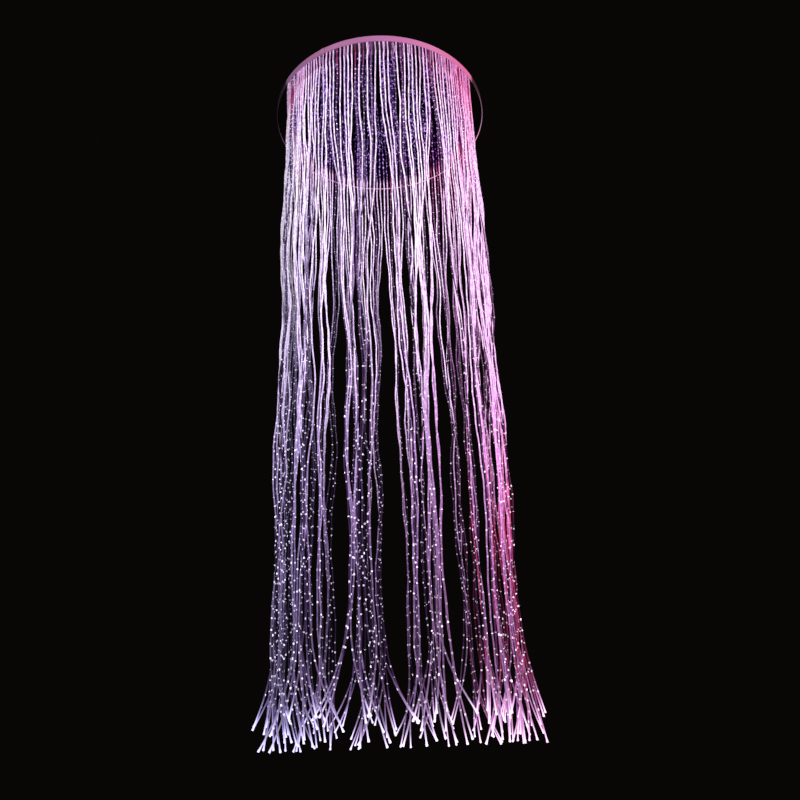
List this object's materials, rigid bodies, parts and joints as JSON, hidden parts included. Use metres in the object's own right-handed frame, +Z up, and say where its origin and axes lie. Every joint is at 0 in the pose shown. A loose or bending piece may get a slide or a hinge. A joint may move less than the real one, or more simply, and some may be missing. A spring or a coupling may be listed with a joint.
{
  "type": "fibre optic light curtain",
  "caption": "Ceiling-hung ring curtain of glowing optic fibres below a round mirror panel, with the lamp, colour wheel and fan in a canopy above; the fibres part in bunches.",
  "frame": {"origin": "centre of the ceiling plate's top face, which meets the ceiling", "axes": "+Z up out of the ceiling face; the picture looks along +Y from below; the drum's flat with the mains inlet faces +Y"},
  "size_m": [0.7502, 0.7452, 2.2173],
  "materials": {
    "mirror": "polished",
    "edge": "satin",
    "board": "satin",
    "fibre": "gloss",
    "white_paint": "satin",
    "plate_steel": "satin",
    "bright_steel": "satin",
    "black_plastic": "matte",
    "rocker_red": "gloss",
    "sleeve_rubber": "matte",
    "aluminium": "satin",
    "filter_film": "gloss",
    "lens_glass": "polished",
    "lamp_white": "matte",
    "lamp_chip": "gloss",
    "circuit_green": "gloss",
    "pillar_brass": "satin"
  },
  "bodies": {
    "canopy": {"mirror_disc": "mirror", "edge_strip": "edge", "strip_joiner": "edge", "carrier_board": "board", "root_fibres": "fibre", "fibre_core": "fibre", "canopy_drum": "white_paint", "top_cover": "white_paint", "ceiling_plate": "plate_steel", "deck_plate": "plate_steel", "lamp_plate": "plate_steel", "tie_rods": "bright_steel", "upper_sleeves": "bright_steel", "middle_sleeves": "bright_steel", "lower_sleeves": "bright_steel", "board_nuts": "bright_steel", "cover_screws": "bright_steel", "drum_screws": "bright_steel", "inlet_screws": "bright_steel", "wheel_motor": "bright_steel", "power_inlet": "black_plastic", "switch_body": "black_plastic", "gather_clips": "black_plastic", "clamp_screw": "black_plastic", "lens_holder": "black_plastic", "fan_frame": "black_plastic", "leg_boots": "sleeve_rubber", "harness_legs": "sleeve_rubber", "bundle_boot": "sleeve_rubber", "common_end_ferrule": "aluminium", "port_clamp": "aluminium", "heat_sink": "aluminium", "lens": "lens_glass", "led_board": "lamp_white", "driver_box": "lamp_white", "lead_set": "lamp_white", "led_emitter": "lamp_chip", "control_board": "circuit_green", "board_pillars": "pillar_brass"},
    "wheel": {"wheel_shaft": "bright_steel", "colour_wheel": "black_plastic", "colour_filters": "filter_film"},
    "fan": {"fan_rotor": "black_plastic"},
    "rocker": {"switch_rocker": "rocker_red"},
    "bunch_01": {"fibre_bunch_01": "fibre"},
    "bunch_02": {"fibre_bunch_02": "fibre"},
    "bunch_03": {"fibre_bunch_03": "fibre"},
    "bunch_04": {"fibre_bunch_04": "fibre"},
    "bunch_05": {"fibre_bunch_05": "fibre"},
    "bunch_06": {"fibre_bunch_06": "fibre"},
    "bunch_07": {"fibre_bunch_07": "fibre"},
    "bunch_08": {"fibre_bunch_08": "fibre"},
    "bunch_09": {"fibre_bunch_09": "fibre"},
    "bunch_10": {"fibre_bunch_10": "fibre"},
    "bunch_11": {"fibre_bunch_11": "fibre"},
    "bunch_12": {"fibre_bunch_12": "fibre"}
  },
  "joints": [
    {"name": "wheel_spin", "type": "hinge", "parent": "canopy", "child": "wheel", "pos_m": [0.04384, 0.04384, -0.073], "axis": [0, 0, 1], "continuous": true},
    {"name": "fan_spin", "type": "hinge", "parent": "canopy", "child": "fan", "pos_m": [0, 0, -0.02], "axis": [0, 0, 1], "continuous": true},
    {"name": "rocker_tip", "type": "hinge", "parent": "canopy", "child": "rocker", "pos_m": [0.026, 0.16, -0.084], "axis": [-1, 0, 0], "range_deg": [0, 14]},
    {"name": "bunch_01_swing", "type": "hinge", "parent": "canopy", "child": "bunch_01", "pos_m": [0.31682, 0.08489, -0.182], "axis": [0.2588, -0.9659, 0], "range_deg": [0, 25]},
    {"name": "bunch_02_swing", "type": "hinge", "parent": "canopy", "child": "bunch_02", "pos_m": [0.23193, 0.23193, -0.182], "axis": [0.7071, -0.7071, 0], "range_deg": [0, 25]},
    {"name": "bunch_03_swing", "type": "hinge", "parent": "canopy", "child": "bunch_03", "pos_m": [0.08489, 0.31682, -0.182], "axis": [0.9659, -0.2588, 0], "range_deg": [0, 25]},
    {"name": "bunch_04_swing", "type": "hinge", "parent": "canopy", "child": "bunch_04", "pos_m": [-0.08489, 0.31682, -0.182], "axis": [0.9659, 0.2588, 0], "range_deg": [0, 25]},
    {"name": "bunch_05_swing", "type": "hinge", "parent": "canopy", "child": "bunch_05", "pos_m": [-0.23193, 0.23193, -0.182], "axis": [0.7071, 0.7071, 0], "range_deg": [0, 25]},
    {"name": "bunch_06_swing", "type": "hinge", "parent": "canopy", "child": "bunch_06", "pos_m": [-0.31682, 0.08489, -0.182], "axis": [0.2588, 0.9659, 0], "range_deg": [0, 25]},
    {"name": "bunch_07_swing", "type": "hinge", "parent": "canopy", "child": "bunch_07", "pos_m": [-0.31682, -0.08489, -0.182], "axis": [-0.2588, 0.9659, 0], "range_deg": [0, 25]},
    {"name": "bunch_08_swing", "type": "hinge", "parent": "canopy", "child": "bunch_08", "pos_m": [-0.23193, -0.23193, -0.182], "axis": [-0.7071, 0.7071, 0], "range_deg": [0, 25]},
    {"name": "bunch_09_swing", "type": "hinge", "parent": "canopy", "child": "bunch_09", "pos_m": [-0.08489, -0.31682, -0.182], "axis": [-0.9659, 0.2588, 0], "range_deg": [0, 25]},
    {"name": "bunch_10_swing", "type": "hinge", "parent": "canopy", "child": "bunch_10", "pos_m": [0.08489, -0.31682, -0.182], "axis": [-0.9659, -0.2588, 0], "range_deg": [0, 25]},
    {"name": "bunch_11_swing", "type": "hinge", "parent": "canopy", "child": "bunch_11", "pos_m": [0.23193, -0.23193, -0.182], "axis": [-0.7071, -0.7071, 0], "range_deg": [0, 25]},
    {"name": "bunch_12_swing", "type": "hinge", "parent": "canopy", "child": "bunch_12", "pos_m": [0.31682, -0.08489, -0.182], "axis": [-0.2588, -0.9659, 0], "range_deg": [0, 25]}
  ]
}
